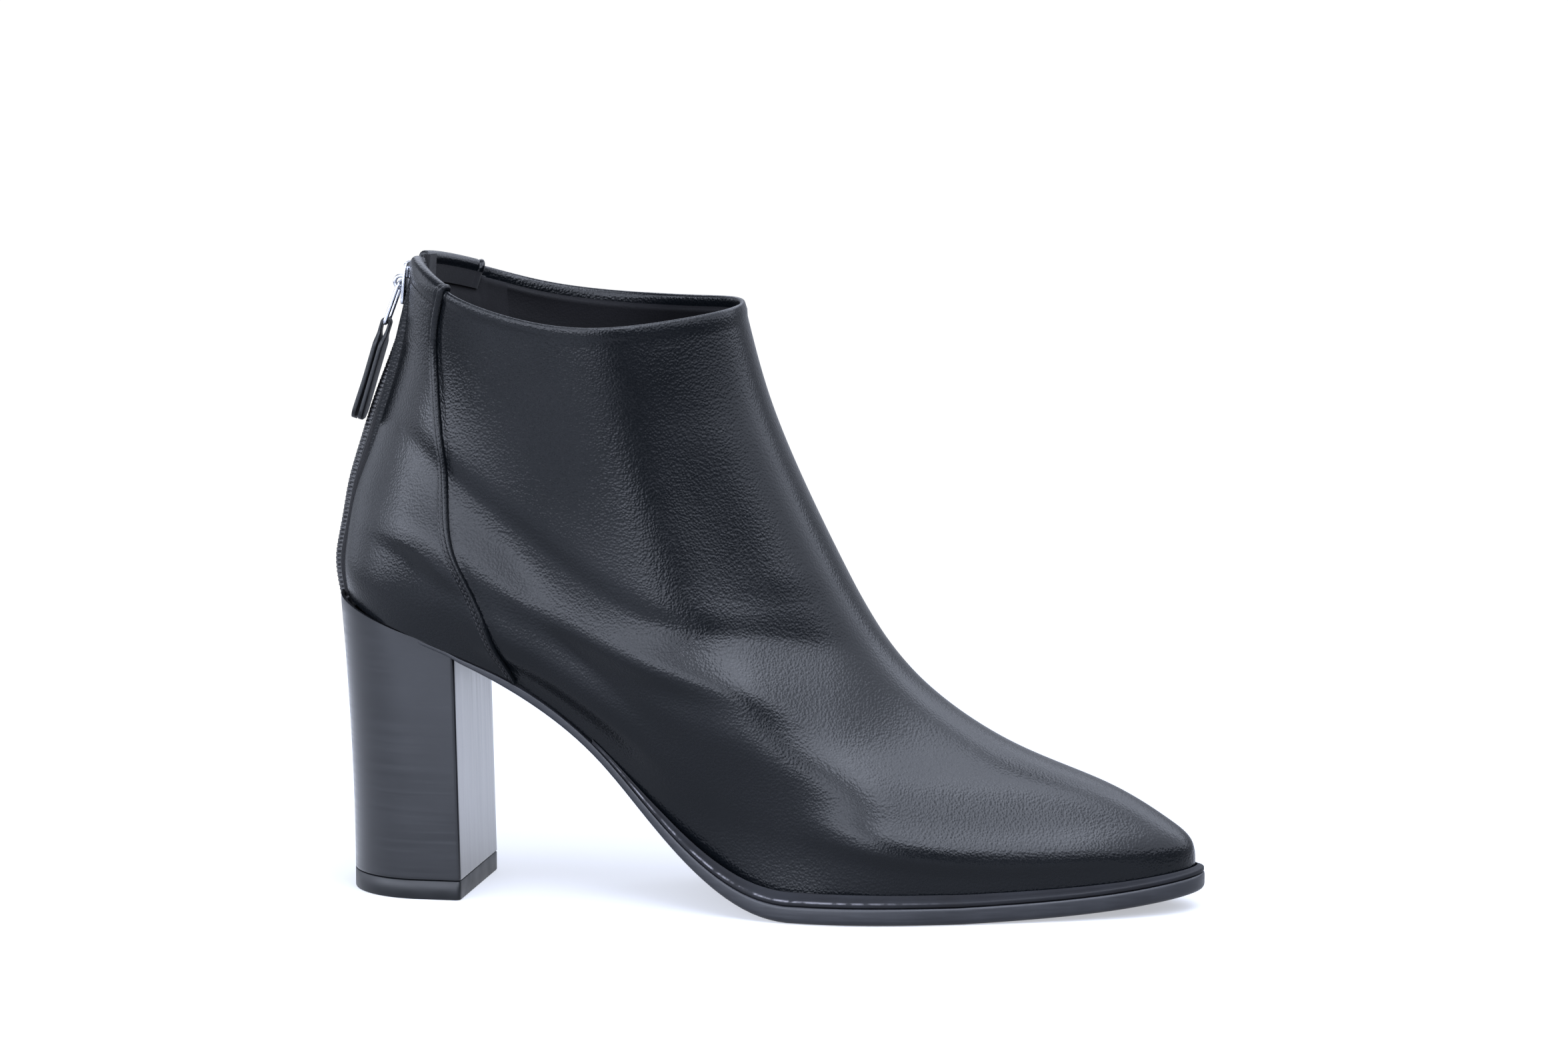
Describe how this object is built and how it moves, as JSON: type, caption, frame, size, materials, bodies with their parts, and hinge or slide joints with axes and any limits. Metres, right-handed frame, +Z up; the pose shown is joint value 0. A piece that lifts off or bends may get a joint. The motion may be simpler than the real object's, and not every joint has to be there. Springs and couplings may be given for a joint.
{
  "type": "heeled ankle boot",
  "caption": "Right-foot ankle boot in smooth black leather with an almond toe, a stitched back panel, a back zip with a leather pull, a slim welted sole and a high block heel.",
  "frame": {"origin": "centre of the boot's box, on the floor that the heel and the forefoot stand on", "axes": "+X towards the toe, +Y towards the inner side of the foot, +Z up"},
  "size_m": [0.2488, 0.0846, 0.1803],
  "materials": {
    "upper_leather": "smooth, fine grain, soft sheen",
    "panel_leather": "smooth, fine grain, soft sheen",
    "sock": "suede",
    "welt": "dyed edge, satin",
    "outsole": "dyed edge, satin",
    "heel": "stacked leather, dyed and burnished",
    "heel_cap": "matt",
    "zip_tape": "woven",
    "zip_coil": "moulded coil",
    "zip_metal": "polished",
    "pull_leather": "smooth, cut edges"
  },
  "bodies": {
    "boot": {"upper": "upper_leather", "back_panel_lateral": "panel_leather", "back_panel_medial": "panel_leather", "insole": "sock", "welt": "welt", "outsole": "outsole", "heel_block": "heel", "heel_cap": "heel_cap", "zip_tape_lateral": "zip_tape", "zip_tape_medial": "zip_tape", "zip_coil": "zip_coil", "zip_slider": "zip_metal"},
    "pull": {"zip_pull_ring": "zip_metal", "zip_pull_tab": "pull_leather"}
  },
  "joints": [
    {"name": "pull_swing", "type": "hinge", "parent": "boot", "child": "pull", "pos_m": [-0.10518, 0.00028, 0.17246], "axis": [0, 1, 0], "range_deg": [0, 150]}
  ]
}
